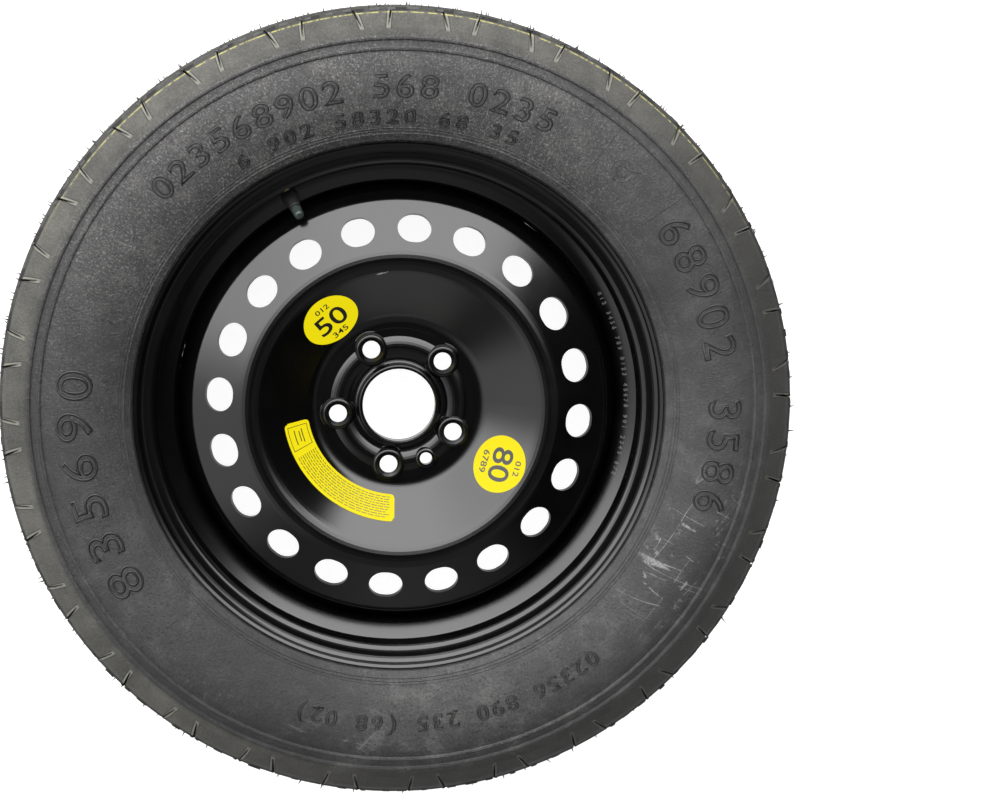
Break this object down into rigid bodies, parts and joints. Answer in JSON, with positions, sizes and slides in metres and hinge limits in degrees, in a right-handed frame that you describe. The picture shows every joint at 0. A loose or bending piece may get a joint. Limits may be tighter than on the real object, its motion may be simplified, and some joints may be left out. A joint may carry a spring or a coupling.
{
  "type": "space saver spare wheel",
  "caption": "Narrow spare wheel: slim tyre on a steel rim with a vented pressed disc, centre bore, bolt circle, snap-in valve with screw cap, and yellow labels.",
  "frame": {"origin": "centre of the hub mounting face, on the wheel's axis", "axes": "+Z along the wheel's axis towards the street side; the wheel lies on its back sidewall; +Y is the picture's up and +X its right"},
  "size_m": [0.7108, 0.7108, 0.155],
  "materials": {
    "tyre": "matte",
    "rim_paint": "satin",
    "disc_paint": "satin",
    "weld_paint": "satin",
    "valve_rubber": "matte",
    "brass": "satin",
    "cap_plastic": "satin",
    "seal_rubber": "matte",
    "seal_plastic": "satin",
    "pin_steel": "satin",
    "label_film": "satin"
  },
  "bodies": {
    "root": {"tyre": "tyre", "rim": "rim_paint", "disc": "disc_paint", "disc_welds": "weld_paint", "valve_body": "valve_rubber", "valve_stem": "brass", "core_plug": "brass", "core_barrel": "brass", "barrel_seal": "seal_plastic", "core_spring": "pin_steel", "label_50": "label_film", "label_80": "label_film", "label_curved": "label_film"},
    "valve_cap": {"valve_cap": "cap_plastic", "cap_seal": "seal_rubber"},
    "core_pin": {"core_pin": "pin_steel", "core_cup": "brass", "cup_seal": "seal_rubber"}
  },
  "joints": [
    {"name": "cap_off", "type": "slide", "parent": "root", "child": "valve_cap", "axis": [0.2301, -0.4439, 0.866], "range_m": [0, 0.016]},
    {"name": "pin_press", "type": "slide", "parent": "root", "child": "core_pin", "axis": [-0.2301, 0.4439, -0.866], "range_m": [0, 0.0015], "stiffness_N_per_m": 400, "springref_m": -0.001, "deforming": ["core_spring"]}
  ]
}
